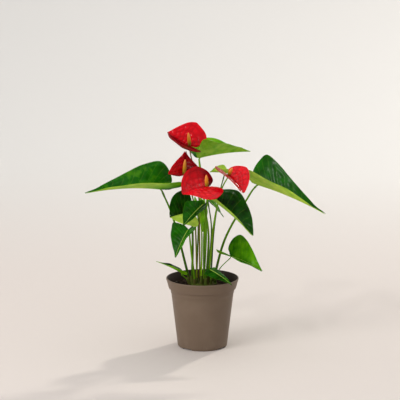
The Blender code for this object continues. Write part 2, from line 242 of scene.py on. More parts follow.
class StalkSettings(bpy.types.PropertyGroup):
    joint_swell: FloatProperty(
        name="Joint swell", default=1.35, min=1.0, max=2.0,
        description="Swelling of a leaf stalk just under its blade",
    )
    dark: colour("Dark green", "Shaded leaf stalk", (0.040, 0.120, 0.001))
    light: colour("Light green", "Lit leaf stalk", (0.200, 0.460, 0.004))
    flower: colour("Flower stalk", "Reddish flower stalk", (0.190, 0.120, 0.010))
    base: colour("Stalk base", "Brown sheathed base of a stalk", (0.055, 0.034, 0.010))
    sheath: colour("Dry sheath", "Dry streaks on the crown", (0.160, 0.095, 0.040))


class FlowerSettings(bpy.types.PropertyGroup):
    thickness: size("Spathe thickness", "Thickness of a spathe", 0.90 * MM)
    quilting: size("Quilting", "Height of the quilted cells of a spathe", 0.80 * MM)
    red: colour("Red", "Glossy face of a spathe", (0.780, 0.000, 0.009))
    deep_red: colour("Deep red", "Vein lines and shaded face", (0.420, 0.000, 0.004))
    maroon: colour("Maroon", "Most shaded face", (0.110, 0.000, 0.002))
    back_red: colour("Back red", "Duller back of a spathe", (0.460, 0.001, 0.006))
    spadix_tip: colour("Spadix tip", "Open end of a spadix", (0.900, 0.330, 0.070))
    spadix_middle: colour("Spadix middle", "Middle of a spadix", (0.720, 0.330, 0.020))
    spadix_base: colour("Spadix base", "Foot of a spadix", (0.200, 0.210, 0.020))


class PotSettings(bpy.types.PropertyGroup):
    wall: size("Wall", "Thickness of the pot's wall", 1.6 * MM)
    plastic: colour("Plastic", "Taupe plastic of the pot", (0.165, 0.118, 0.084))
    # A dark colour of painted shade for the pot's inner wall.
    painted_inner_shade: colour("Soil stain", "Inner wall, stained by damp soil", (0.022, 0.012, 0.007))
    dust: colour("Dust", "Pale water marks and dust", (0.330, 0.260, 0.190))


class SoilSettings(bpy.types.PropertyGroup):
    lumps: size("Lumps", "Height of the lumps of the soil", 2.2 * MM)
    chips: IntProperty(
        name="Bark chips", description="Number of chips on the soil", default=260,
        min=0, max=1000,
    )
    peat: colour("Peat", "Moist peat", (0.014, 0.009, 0.006))
    bark: colour("Bark", "Bark chips", (0.060, 0.033, 0.018))


class StageSettings(bpy.types.PropertyGroup):
    floor: colour("Floor", "Pale floor", (0.690, 0.634, 0.604))
    backdrop: colour("Backdrop", "Pale backdrop", (0.748, 0.742, 0.732))
    patches: colour("Floor patches", "Faint patches of the floor", (0.700, 0.660, 0.620))
    distance: size("Camera distance", "From the plant to the camera", 2.5, 0.5, 10.0)
    pitch: FloatProperty(
        name="Camera pitch", description="How far the camera looks down",
        default=math.radians(10.6), min=0.0, max=1.5, subtype="ANGLE", unit="ROTATION",
    )
    lens: FloatProperty(
        name="Lens", description="Focal length in mm", default=137.2, min=20, max=300,
    )


SETTINGS = {
    "anthurium_leaves": LeafSettings,
    "anthurium_stalks": StalkSettings,
    "anthurium_flowers": FlowerSettings,
    "anthurium_pot": PotSettings,
    "anthurium_soil": SoilSettings,
    "anthurium_stage": StageSettings,
}


# --- meshes --------------------------------------------------------------------------


def grid_sheet(columns, rows, place):
    """A grid with a UV map, its points set by place(across, along), with across from
    -1 to 1 and along from 0 to 1. place gives a point, a tone and a share of length."""
    bm = bmesh.new()
    bm.loops.layers.uv.new("UVMap")
    bmesh.ops.create_grid(bm, x_segments=columns, y_segments=rows, size=1.0, calc_uvs=True)
    tone = bm.verts.layers.float.new("tone")
    length = bm.verts.layers.float.new("length")
    for vert in bm.verts:
        vert.co, vert[tone], vert[length] = place(vert.co.x, 0.5 + 0.5 * vert.co.y)
    return bm


def close_up(bm):
    """Merges seams and poles and turns the faces outwards."""
    bmesh.ops.remove_doubles(bm, verts=bm.verts, dist=0.002 * MM)
    bmesh.ops.recalc_face_normals(bm, faces=bm.faces)


def new_object(name, bm):
    """An object of the bmesh, which is freed."""
    mesh = bpy.data.meshes.new(name)
    bm.to_mesh(mesh)
    bm.free()
    made = bpy.data.objects.new(name, mesh)
    bpy.context.scene.collection.objects.link(made)
    return made


def add_piece(name, bm, materials, nodes=()):
    """A smooth piece that replaces the CAD nodes."""
    piece = new_object(name, bm)
    piece.data.shade_smooth()
    for material in materials:
        piece.data.materials.append(material)
    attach(piece, BODY)
    if nodes:
        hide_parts(*nodes)
    return piece


def smooth_curve(points, place):
    """The point of a Catmull-Rom curve through the points, place running from 0 to 1."""
    spans = len(points) - 1
    index = min(int(place * spans), spans - 1)
    t = place * spans - index
    before = points[index - 1] if index else points[0] * 2 - points[1]
    start, end = points[index], points[index + 1]
    after = points[index + 2] if index + 2 <= spans else end * 2 - start
    return 0.5 * (
        start * 2 + (end - before) * t
        + (before * 2 - start * 5 + end * 4 - after) * t ** 2
        + (start * 3 - before - end * 3 + after) * t ** 3
    )


def carried_frames(points):
    """Two directions square to the path at each point, turned as little as can be."""
    ways = []
    for index in range(len(points)):
        ahead = points[min(index + 1, len(points) - 1)]
        behind = points[max(index - 1, 0)]
        ways.append((ahead - behind).normalized())
    side = ways[0].orthogonal().normalized()
    frames = []
    for index, way in enumerate(ways):
        if index:
            side = ways[index - 1].rotation_difference(way) @ side
        side = (side - way * side.dot(way)).normalized()
        frames.append((side, way.cross(side)))
    return frames


def tube(points, radii, around, tones, roughen=None):
    """A closed tube along the points, with a radius and a tone at each of them."""
    points = [points[0], *points, points[-1]]
    radii = [0.0, *radii, 0.0]
    tones = [tones[0], *tones, tones[-1]]
    frames = carried_frames(points[1:-1])
    frames = [frames[0], *frames, frames[-1]]
    last = len(points) - 1

    def place(across, along):
        index = round(along * last)
        side, up = frames[index]
        angle = math.pi * across
        radius = radii[index]
        if roughen:
            radius *= roughen(angle, along)
        out = side * math.cos(angle) + up * math.sin(angle)
        return points[index] + out * radius, tones[index], along

    bm = grid_sheet(around, last, place)
    close_up(bm)
    return bm


def turned(bm, profile, steps):
    """Spins a profile of (radius, height) pairs round the upright axis."""
    verts = [bm.verts.new((reach, 0.0, level)) for reach, level in profile]
    edges = [bm.edges.new(pair) for pair in zip(verts, verts[1:])]
    bmesh.ops.spin(
        bm, geom=verts + edges, cent=(0, 0, 0), axis=(0, 0, 1), angle=math.tau,
        steps=steps, use_merge=True,
    )
    close_up(bm)


def joined(parts):
    """One bmesh from several, in order."""
    whole = parts[0]
    for part in parts[1:]:
        mesh = bpy.data.meshes.new("part")
        part.to_mesh(mesh)
        part.free()
        whole.from_mesh(mesh)
        bpy.data.meshes.remove(mesh)
    return whole


# --- blades --------------------------------------------------------------------------


class BladeForm:
    """The curved surface of a blade."""

    def __init__(self, blade):
        self.blade = blade
        self.foot = Vector(blade.foot) * MM
        chord = Vector(blade.tip) * MM - self.foot
        self.chord = chord.length
        self.along = chord.normalized()
        self.up = (UP - self.along * UP.dot(self.along)).normalized()
        self.left = self.up.cross(self.along)
        self.half_width = 0.5 * blade.width * MM
        self.outline = []
        for tapered, rounded in zip(LEAF_OUTLINE, ROUND_OUTLINE):
            reach, side = Vector(tapered).lerp(Vector(rounded), blade.full)
            if reach < 0:
                reach *= blade.lobe
            if reach < FULL_WIDTH_REACH:
                side *= blade.base
            self.outline.append(Vector((reach, side, 0.0)))

    def arc(self, place):
        """Reach, rise and slope at a place along the arched midrib."""
        half = 0.5 * math.radians(self.blade.arch)
        radius = 0.5 * self.chord / math.sin(half)
        on_midrib = min(max(place, 0.0), 1.0)
        slope = half * (1 - 2 * on_midrib)
        beyond = (place - on_midrib) * 2 * half * radius
        reach = radius * (math.sin(half) - math.sin(slope)) + beyond * math.cos(slope)
        rise = radius * (math.cos(slope) - math.cos(half)) + beyond * math.sin(slope)
        return reach, rise, slope

    def point(self, column, row):
        """A point, the direction up from the blade there, and the distance from the
        midrib, at column -1 to 1 from the left margin to the right one and row 0 to 1
        from the notch between the lobes to the tip."""
        margin = smooth_curve(self.outline, row)
        across = abs(column)
        place = (1 - across) * row ** ROW_CROWDING + across * margin.x
        place -= ROW_BOW * across * (1 - across) * row
        distance = across * margin.y * self.half_width
        side = 0 if column < 0 else 1
        folded = min(1.0, margin.y * self.half_width / FULL_FOLD_WIDTH)
        fold = math.radians(self.blade.fold[side]) * folded
        turn = (math.radians(self.blade.curl[side]) or NO_CURL) / self.half_width
        angle = fold + turn * distance
        sideways = (math.sin(angle) - math.sin(fold)) / turn
        rise = (math.cos(fold) - math.cos(angle)) / turn
        reach, midrib_rise, slope = self.arc(place)
        normal = self.up * math.cos(slope) - self.along * math.sin(slope)
        out = self.left if column < 0 else -self.left
        spot = self.foot + self.along * reach + self.up * midrib_rise
        spot += out * sideways + normal * rise
        return spot, normal * math.cos(angle) - out * math.sin(angle), distance

    def under_midrib(self, row, depth):
        """A point this deep below the midrib."""
        spot, normal = self.point(0.0, row)[:2]
        return spot - normal * depth


def dip(value, width):
    """1 at a value of 0, falling off to 0 on both sides."""
    return math.exp(-(value / width) ** 2)


def to_nearest(value):
    """Distance to the nearest whole number."""
    return abs(value - round(value))


def leaf_relief(across, along, distance, wave, seed, settings):
    """Height of a leaf's surface over its smooth form."""
    vein = to_nearest((along + SIDE_VEIN_SLANT * across) * SIDE_VEINS)
    fade = min(1.0, 5 * across) * min(1.0, 4 * (1 - across)) * min(1.0, 3 * (1 - along))
    height = -settings.vein_relief * dip(vein, SIDE_VEIN_WIDTH) * fade
    depth, width = LEAF_GROOVE
    height -= depth * dip(distance, width)
    height += LEAF_LUMPS * noise.noise(Vector((7 * across, 7 * along, seed))) * across
    swell = math.sin(math.tau * (1.6 * along + 0.37 * seed))
    swell += 0.5 * math.sin(math.tau * (3.7 * along + 0.61 * seed))
    ends = min(1.0, 4 * along) * min(1.0, 2.5 * (1 - along))
    return height + wave * MM * swell * across ** 2 * ends


def add_sheet(blade, grid, place, materials, ending):
    """A blade's piece, with its face and its back; returns the modifier that gives it
    its thickness."""
    bm = grid_sheet(*grid, place)
    bmesh.ops.remove_doubles(bm, verts=bm.verts, dist=0.01 * MM)
    piece = add_piece(blade.name + ending, bm, materials, [blade.name])
    shell = piece.modifiers.new("thickness", "SOLIDIFY")
    shell.material_offset = 1
    return shell


def make_leaf(blade, index, settings, materials):
    """A thin leaf blade with side veins and a wavy margin."""
    form = BladeForm(blade)
    left_painted_light, right_painted_light, wave, lobe_shade = LEAF_LOOKS[blade.name]

    def place(column, row):
        spot, normal, distance = form.point(column, row)
        seed = 3.1 * index + (0 if column < 0 else 1.7)
        height = leaf_relief(abs(column), row, distance, wave, seed, settings)
        # Painted light and shade: the half's tone, darkened at its lobe by painted shade.
        tone = left_painted_light if column < 0 else right_painted_light
        tone -= lobe_shade[column > 0] * dip(row, 0.36)
        return spot + normal * height, tone, row

    shell = add_sheet(blade, LEAF_GRID, place, materials, "_blade")
    shell.thickness = settings.thickness
    shell.offset = 0.0
    shell.use_even_offset = False


def make_spathe(blade, index, settings, materials):
    """A glossy spathe, quilted between its veins, thickened towards its back."""
    form = BladeForm(blade)
    left_painted_light, right_painted_light, lobe_shade = SPATHE_LOOKS[blade.name]

    def place(column, row):
        spot, normal, distance = form.point(column, row)
        across = abs(column)
        seed = 5.3 * index + (0 if column < 0 else 2.9)
        stray = noise.noise(Vector((3 * across, 3 * row, seed)))
        cell = abs(math.sin(math.pi * QUILT_COLUMNS * (across + 0.12 * stray)))
        cell *= abs(math.sin(math.pi * QUILT_ROWS * (row + 0.10 * across + 0.06 * stray)))
        fade = min(1.0, 6 * (1 - across)) * min(1.0, 4 * (1 - row)) * min(1.0, 5 * row)
        lumps = noise.noise(Vector((6 * across, 9 * row, seed + 11)))
        height = settings.quilting * (cell ** 0.7 + 0.5 * lumps) * fade
        depth, width = SPATHE_GROOVE
        height -= depth * dip(distance, width)
        height += SPATHE_WAVES * across ** 2 * math.sin(math.tau * (2.2 * row + seed))
        # Painted light and shade: the half's tone, darkened at its lobe by painted shade; darker also
        # in the grooves between the quilted cells.
        tone = left_painted_light if column < 0 else right_painted_light
        tone -= lobe_shade[column > 0] * dip(row, 0.28)
        return spot + normal * height, tone * (0.72 + 0.28 * cell ** 0.5), row

    shell = add_sheet(blade, SPATHE_GRID, place, materials, "_hood")
    shell.thickness = settings.thickness
    shell.offset = -1.0


# --- stalks and spadices -------------------------------------------------------------

# How deep a stalk is rooted in the crown, how far under its blade it ends, how much it
# swells at its foot and over what share of its length, and its sides.
ROOT_DEPTH = 3.0 * MM
JOINT_DEPTH = 2.6 * MM
FOOT_SWELL = 0.45
FOOT_SHARE = 0.05
STALK_SIDES = 16

# Steps up a leaf stalk, and where it swells and over what share; then the same for a
# flower stalk, with how much it swells.
LEAF_STALK_STEPS = 46
LEAF_JOINT = (0.94, 0.045)
FLOWER_STALK_STEPS = 50
FLOWER_JOINT = (1.0, 0.03)
FLOWER_JOINT_SWELL = 0.30

# The midrib that a leaf stalk runs on as: its steps, its first row and the rows that it
# crosses, its depth under the blade, its radius as a share of the stalk's, and its radius
# at the leaf's tip.
MIDRIB_STEPS = 26
MIDRIB_START = 0.20
MIDRIB_SPAN = 0.78
MIDRIB_DEPTH = 0.15 * MM
MIDRIB_SHARE = 0.62
MIDRIB_TIP = 0.16 * MM

# The lattice of a spadix: how many spirals of flowers cross each way, the height of a row
# of flowers, their relief as a share of its radius, and its faces round and along.
SPADIX_SPIRALS = 7
SPADIX_ROW = 1.25 * MM
SPADIX_RELIEF = 0.085
SPADIX_SIDES = 70
SPADIX_STEPS = 78


def stalk_path(stalk, form, count):
    """Points from inside the crown up to just under the foot of the blade."""
    slope = 0.5 * math.radians(form.blade.arch)
    normal = form.up * math.cos(slope) - form.along * math.sin(slope)
    base = Vector((stalk.base[0] * MM, stalk.base[1] * MM, CROWN_BOX[1].z))
    way = [Vector(point) * MM for point in stalk.way]
    waypoints = [base, *way, form.foot - normal * JOINT_DEPTH]
    path = [smooth_curve(waypoints, step / count) for step in range(count + 1)]
    root = base + (path[0] - path[1]).normalized() * ROOT_DEPTH
    return [root, *path]


def stalk_radii(stalk, count, swell, place, width):
    """Radii along a stalk that swells at its foot and once more near its top."""
    low, high = [radius * BARE_STALK * MM for radius in stalk.radius]
    radii = []
    for index in range(count):
        share = index / (count - 1)
        swelling = 1 + FOOT_SWELL * dip(share, FOOT_SHARE)
        swelling += swell * dip(share - place, width)
        radii.append((low + (high - low) * share) * swelling)
    return radii


def make_leaf_stalk(stalk, blade, settings, material):
    """A leaf stalk that runs on under its blade as the tapering midrib."""
    form = BladeForm(blade)
    path = stalk_path(stalk, form, LEAF_STALK_STEPS)
    radii = stalk_radii(stalk, len(path), settings.joint_swell - 1, *LEAF_JOINT)
    tones = [stalk.tone] * len(path)
    thick = MIDRIB_SHARE * stalk.radius[1] * BARE_STALK * MM
    for step in range(MIDRIB_STEPS + 1):
        share = step / MIDRIB_STEPS
        row = MIDRIB_START + MIDRIB_SPAN * share
        path.append(form.under_midrib(row, MIDRIB_DEPTH))
        radii.append(thick * (1 - share) ** 0.8 + MIDRIB_TIP)
        tones.append(0.95 + 0.35 * share)
    bm = tube(path, radii, STALK_SIDES, tones)
    name = stalk.name.replace("petiole", "leaf_stalk")
    add_piece(name, bm, [material], [stalk.name])


def make_flower_stalk(stalk, blade, material):
    """A flower stalk that ends in the foot of its spathe."""
    form = BladeForm(blade)
    path = [*stalk_path(stalk, form, FLOWER_STALK_STEPS), form.foot]
    radii = stalk_radii(stalk, len(path), FLOWER_JOINT_SWELL, *FLOWER_JOINT)
    bm = tube(path, radii, STALK_SIDES, [stalk.tone] * len(path))
    name = stalk.name.replace("peduncle", "flower_stalk")
    add_piece(name, bm, [material], [stalk.name])


def make_spadix(name, blade, tip, material):
    """A blunt spike whose surface is a close lattice of tiny flowers."""
    foot = Vector(blade.foot) * MM
    end = Vector(tip) * MM
    base = foot + (end - foot).normalized() * SPADIX_FOOT_GAP
    taper = [Vector((share, 0, 0)) for share in SPADIX_TAPER]
    shares = [step / SPADIX_STEPS for step in range(SPADIX_STEPS + 1)]
    points = [base.lerp(end, share) for share in shares]
    radii = [SPADIX_RADIUS * smooth_curve(taper, share).x for share in shares]
    rows = (end - base).length / SPADIX_ROW

    def roughen(angle, along):
        first = math.cos(SPADIX_SPIRALS * angle + math.pi * rows * along)
        second = math.cos(SPADIX_SPIRALS * angle - math.pi * rows * along)
        return 1 + SPADIX_RELIEF * abs(first * second) ** 0.7

    bm = tube(points, radii, SPADIX_SIDES, [0.5] * len(points), roughen)
    add_piece(name + "_spike", bm, [material], [name])


# --- crown, soil and pot -------------------------------------------------------------

# The rings of the crown's underside and top as shares of its radius, how far it reaches
# down into the soil, the height of its lumps, and its faces round.
CROWN_UNDERSIDE = (0.35, 0.7, 0.92)
CROWN_TOP = (0.82, 0.66, 0.5, 0.34, 0.17)
CROWN_ROOTING = 2 * MM
CROWN_LUMPS = 1.6 * MM
CROWN_SIDES = 72

# The sheath round a stalk's foot: its height between two limits, its width at the foot
# as a share of the stalk's radius, how much of that it loses, its width at the end, how
# deep it starts in the crown, and its faces along and round.
SHEATH_HEIGHTS = (9, 17)
SHEATH_FOOT = 1.75
SHEATH_TAPER = 0.62
SHEATH_END = 0.7
SHEATH_SINK = 2.5 * MM
SHEATH_STEPS = 10
SHEATH_SIDES = 18

# The soil: its gap to the wall, how far its even top lies under the CAD one, how much
# lower it is at the wall, and its faces round and along.
SOIL_GAP = 0.8 * MM
SOIL_SINK = 1.2 * MM
SOIL_EDGE_DROP = 1.5 * MM
SOIL_COLUMNS = 200
SOIL_ROWS = 54

# A chip's length in mm between two limits, its width and thickness as shares of that, and
# the height of its lumps.
CHIP_LENGTHS = (2.0, 7.5)
CHIP_WIDTHS = (0.35, 0.7)
CHIP_THICKNESSES = (0.16, 0.4)
CHIP_LUMPS = 0.35 * MM

# The pot's shape, from its rim's radius and its height: how much narrower its base is;
# the height of the rim band, its own taper and how far it stands out; the height of the
# narrow step under it; the top of its floor; and its faces round.
POT_TAPER = 19 * MM
BAND_HEIGHT = 17 * MM
BAND_TAPER = 4 * MM
BAND_OVERHANG = 3 * MM
STEP_HEIGHT = 8 * MM
POT_FLOOR = 4.5 * MM
POT_SIDES = 160

# The notches between the feet, with a drain hole at each: how many, the first one's
# angle, the size of the block that cuts one and its place in from the base's edge, then
# the hole's radius, the depth of its cut, its place in from the edge and its height.
NOTCHES = 4
FIRST_NOTCH = math.radians(-39)
NOTCH_SIZE = (14 * MM, 19 * MM, 5 * MM)
NOTCH_INSET = 5 * MM
DRAIN_RADIUS = 3.5 * MM
DRAIN_DEPTH = 8 * MM
DRAIN_INSET = 8 * MM
DRAIN_HEIGHT = 5 * MM


def make_crown(material):
    """The rooted stem, with the brown sheath of each stalk's base round its foot."""
    low, high = CROWN_BOX
    radius = high.x
    bottom = low.z - CROWN_ROOTING
    bm = bmesh.new()
    bm.loops.layers.uv.new("UVMap")
    profile = [(radius * share, bottom) for share in (0.0, *CROWN_UNDERSIDE)]
    profile += [(radius * 0.98, low.z + 0.5 * MM), (radius * 0.93, high.z - 1.2 * MM)]
    profile += [(radius * share, high.z) for share in (*CROWN_TOP, 0.0)]
    turned(bm, profile, CROWN_SIDES)
    bmesh.ops.subdivide_edges(bm, edges=bm.edges, cuts=1, use_grid_fill=True)
    for vert in bm.verts:
        lump = noise.noise(vert.co * 140) + 0.5 * noise.noise(vert.co * 420)
        vert.co.z += CROWN_LUMPS * lump
        vert.co.xy *= 1 + 0.05 * noise.noise(vert.co * 90)
    parts = [bm]
    rng = random.Random(4)
    for stalk in (*PETIOLES, *PEDUNCLES):
        base = Vector((stalk.base[0] * MM, stalk.base[1] * MM, high.z - SHEATH_SINK))
        lean = (Vector(stalk.way[0]) * MM - base).normalized()
        tall = rng.uniform(*SHEATH_HEIGHTS) * MM
        wide = stalk.radius[0] * MM
        shares = [step / SHEATH_STEPS for step in range(SHEATH_STEPS + 1)]
        points = [base + lean * tall * share for share in shares]
        radii = [wide * (SHEATH_FOOT - SHEATH_TAPER * share ** 0.7) for share in shares]
        radii[-1] = wide * SHEATH_END
        parts.append(tube(points, radii, SHEATH_SIDES, [0.0] * len(points)))
    add_piece("crown_clump", joined(parts), [material], ["crown"])


def soil_height(x, y, settings):
    """Height of the soil's lumps over its even top."""
    spot = Vector((x, y, 0.0))
    coarse = noise.noise(spot * 110) + 0.6 * noise.noise(spot * 260)
    fine = 0.35 * noise.noise(spot * 650) + 0.2 * noise.noise(spot * 1300)
    return settings.lumps * (0.7 * coarse + fine)


def make_soil(settings, material):
    """The soil's hidden sides, and its lumpy top sinking a little towards the wall."""
    low, high = SOIL_BOX
    edge = high.x - SOIL_GAP
    side = [(0.0, low.z), (0.70 * edge, low.z)]
    side += [(edge * 0.93, high.z - 20 * MM), (edge - 1.6 * MM, high.z - 9 * MM)]
    rows = len(side) + SOIL_ROWS - 1

    def place(across, along):
        angle = math.pi * across
        index = round(along * rows)
        if index < len(side):
            radius, level = side[index]
        else:
            share = (index - len(side) + 1) / SOIL_ROWS
            radius = (edge - 1.0 * MM) * (1 - share)
            level = high.z - SOIL_SINK - SOIL_EDGE_DROP * (1 - share) ** 3
        x, y = radius * math.cos(angle), radius * math.sin(angle)
        if index >= len(side):
            level += soil_height(x, y, settings)
        return Vector((x, y, level)), 0.0, along

    bm = grid_sheet(SOIL_COLUMNS, rows, place)
    close_up(bm)
    add_piece("soil_bed", bm, [material], ["potting_soil"])


def make_chips(settings, material):
    """Bark chips and crumbs pressed into the top of the soil."""
    rng = random.Random(11)
    top = SOIL_BOX[1].z - SOIL_SINK
    outer = SOIL_BOX[1].x - 6 * MM
    inner = 0.6 * CROWN_BOX[1].x
    bm = bmesh.new()
    bm.loops.layers.uv.new("UVMap")
    tone = bm.verts.layers.float.new("tone")
    bm.verts.layers.float.new("length")
    for index in range(settings.chips):
        reach = math.sqrt(rng.uniform(inner ** 2, outer ** 2))
        angle = rng.uniform(0, math.tau)
        x, y = reach * math.cos(angle), reach * math.sin(angle)
        long_side = rng.uniform(*CHIP_LENGTHS) * MM
        wide = long_side * rng.uniform(*CHIP_WIDTHS)
        thick = long_side * rng.uniform(*CHIP_THICKNESSES)
        turn = Matrix.Rotation(rng.uniform(0, math.tau), 4, "Z")
        tilt = Matrix.Rotation(rng.uniform(-0.5, 0.5), 4, "X")
        roll = Matrix.Rotation(rng.uniform(-0.4, 0.4), 4, "Y")
        level = top + soil_height(x, y, settings) + rng.uniform(-0.1, 0.25) * long_side
        place = Matrix.Translation((x, y, level)) @ turn @ tilt @ roll
        place @= Matrix.Diagonal((long_side, wide, thick, 1))
        made = bmesh.ops.create_icosphere(bm, subdivisions=2, radius=0.5, matrix=place)
        shade = rng.random()
        for vert in made["verts"]:
            bump = noise.noise(vert.co * 500 + Vector((index, 0, 0)))
            vert.co += CHIP_LUMPS * bump * Vector((1, 1, 1))
            vert[tone] = shade
    bmesh.ops.recalc_face_normals(bm, faces=bm.faces)
    piece = add_piece("soil_chips", bm, [material])
    piece.data.set_sharp_from_angle(angle=math.radians(38))


def pot_profile(settings):
    """The pot's section, from the middle of its underside round to the floor inside."""
    rim, height, wall = POT_BOX[1].x, POT_BOX[1].z, settings.wall
    base = rim - POT_TAPER
    band, band_foot = height - BAND_HEIGHT, rim - BAND_TAPER
    neck = band_foot - BAND_OVERHANG
    step = band - STEP_HEIGHT
    underside = [
        (0.0, 0.0), (base - 14 * MM, 0.0), (base - 2.2 * MM, 0.0),
        (base - 0.9 * MM, 0.35 * MM), (base, 1.6 * MM), (base + 0.55 * MM, 5 * MM),
    ]
    narrow_step = [
        (neck - 2.0 * MM, step - 6 * MM), (neck - 1.4 * MM, step - 0.4 * MM),
        (neck - 0.7 * MM, step + 0.5 * MM), (neck - 0.5 * MM, step + 1.5 * MM),
        (neck, band - 0.5 * MM), (neck + 0.4 * MM, band),
    ]
    rim_band = [
        (band_foot - 1.0 * MM, band), (band_foot - 0.2 * MM, band + 0.25 * MM),
        (band_foot, band + 1.0 * MM), (rim - 0.45 * MM, height - 3.2 * MM),
        (rim, height - 2.4 * MM), (rim, height - 1.0 * MM),
        (rim - 0.35 * MM, height - 0.25 * MM), (rim - 1.0 * MM, height),
        (rim - 1.7 * MM, height - 0.2 * MM), (rim - 2.2 * MM, height - 0.9 * MM),
    ]
    inside = [
        (band_foot - wall, band + wall + 0.8 * MM), (neck - wall, band + wall),
        (neck - 1.4 * MM - wall, step), (base - wall, POT_FLOOR + 1.5 * MM),
        (base - wall - 1.5 * MM, POT_FLOOR), (0.0, POT_FLOOR),
    ]
    return underside + narrow_step + rim_band + inside


def foot_cutter():
    """The blocks and rods that cut the notches and the drain holes, as one object."""
    base = POT_BOX[1].x - POT_TAPER
    bm = bmesh.new()
    for index in range(NOTCHES):
        turn = Matrix.Rotation(FIRST_NOTCH + math.tau * index / NOTCHES, 4, "Z")
        block = Matrix.Translation((base - NOTCH_INSET, 0, 0)) @ Matrix.Diagonal((*NOTCH_SIZE, 1))
        bmesh.ops.create_cube(bm, size=1.0, matrix=turn @ block)
        hole = Matrix.Translation((base - DRAIN_INSET, 0, DRAIN_HEIGHT))
        bmesh.ops.create_cone(
            bm, cap_ends=True, segments=40, radius1=DRAIN_RADIUS, radius2=DRAIN_RADIUS,
            depth=DRAIN_DEPTH, matrix=turn @ hole,
        )
    return new_object("foot_cutter", bm)


def make_pot(settings, material):
    """The turned pot, with its notches and drain holes cut out."""
    bm = bmesh.new()
    bm.loops.layers.uv.new("UVMap")
    turned(bm, pot_profile(settings), POT_SIDES)
    pot = add_piece("pot_shell", bm, [material], ["pot"])
    cutter = foot_cutter()
    cut = pot.modifiers.new("feet", "BOOLEAN")
    cut.operation = "DIFFERENCE"
    cut.solver = "EXACT"
    cut.use_self = True
    cut.object = cutter
    bpy.context.view_layer.update()
    finished = bpy.data.meshes.new_from_object(
        pot.evaluated_get(bpy.context.evaluated_depsgraph_get())
    )
    pot.modifiers.clear()
    pot.data = finished
    bpy.data.objects.remove(cutter)
    finished.shade_smooth()
    finished.set_sharp_from_angle(angle=math.radians(40))


# --- materials -----------------------------------------------------------------------


class Nodes:
    """Adds and links shader nodes in one tree."""

    def __init__(self, tree):
        self.tree = tree

    def add(self, kind, **options):
        """A node with its options, such as the operation of a Math node."""
        node = self.tree.nodes.new(kind)
        for key, value in options.items():
            setattr(node, key, value)
        return node

    def feed(self, node, key, value):
        """Links an output to an input of the node, or sets the input to a plain value."""
        socket = node.inputs[key]
        if isinstance(value, bpy.types.NodeSocket):
            self.tree.links.new(value, socket)
        else:
            socket.default_value = value

    def math(self, operation, first, second=0.0, third=0.0):
        node = self.add("ShaderNodeMath", operation=operation)
        for key, value in enumerate((first, second, third)):
            self.feed(node, key, value)
        return node.outputs[0]

    def remap(self, value, low, high, to_low, to_high, smooth=False):
        node = self.add("ShaderNodeMapRange")
        node.interpolation_type = "SMOOTHSTEP" if smooth else "LINEAR"
        for key, item in enumerate((value, low, high, to_low, to_high)):
            self.feed(node, key, item)
        return node.outputs[0]

    def split(self, vector):
        """The three parts of a vector."""
        node = self.add("ShaderNodeSeparateXYZ")
        self.feed(node, 0, vector)
        return node.outputs

    def mix(self, factor, first, second):
        """A colour between two others, each an output or a red, green and blue."""
        node = self.add("ShaderNodeMix", data_type="RGBA")
        self.feed(node, 0, factor)
        for key, shade in ((6, first), (7, second)):
            if not isinstance(shade, bpy.types.NodeSocket):
                shade = (*shade, 1.0)
            self.feed(node, key, shade)
        return node.outputs[2]

    def ramp(self, factor, stops):
        """A colour that runs through the stops, each a position and a shade."""
        node = self.add("ShaderNodeValToRGB")
        self.feed(node, 0, factor)
        elements = node.color_ramp.elements
        while len(elements) < len(stops):
            elements.new(1.0)
        for element, (position, shade) in zip(elements, stops):
            element.position = position
            element.color = (*shade, 1.0)
        return node.outputs[0]

    def attribute(self, name):
        return self.add("ShaderNodeAttribute", attribute_name=name).outputs["Fac"]

    def group(self, tree, **values):
        """A group node whose inputs, with _ for a space, get values or links."""
        node = self.add("ShaderNodeGroup", node_tree=tree)
        for key, value in values.items():
            self.feed(node, key.replace("_", " "), value)
        return node


def new_group(name, inputs, outputs):
    """A node group's tree, its nodes, and the nodes of its inputs and outputs."""
    tree = bpy.data.node_groups.new(name, "ShaderNodeTree")
    for label, kind, default in inputs:
        socket = tree.interface.new_socket(label, in_out="INPUT", socket_type=kind)
        if default is not None:
            socket.default_value = default
    for label in outputs:
        tree.interface.new_socket(label, in_out="OUTPUT", socket_type="NodeSocketFloat")
    nodes = Nodes(tree)
    return tree, nodes, nodes.add("NodeGroupInput"), nodes.add("NodeGroupOutput")


def mottle_group():
    """Soft blotches over the surface, from 0 to 1, and a fine grain."""
    found = bpy.data.node_groups.get("mottle")
    if found:
        return found
    tree, nodes, start, end = new_group(
        "mottle",
        [("Vector", "NodeSocketVector", None), ("Blotch Scale", "NodeSocketFloat", 60.0),
         ("Grain Scale", "NodeSocketFloat", 900.0)],
        ["Blotches", "Grain"],
    )
    for label, scale in (("Blotches", "Blotch Scale"), ("Grain", "Grain Scale")):
        texture = nodes.add("ShaderNodeTexNoise")
        nodes.feed(texture, "Vector", start.outputs["Vector"])
        nodes.feed(texture, "Scale", start.outputs[scale])
        nodes.feed(texture, "Detail", 3.0)
        nodes.feed(end, label, nodes.remap(texture.outputs["Fac"], 0.3, 0.7, 0.0, 1.0))
    return tree


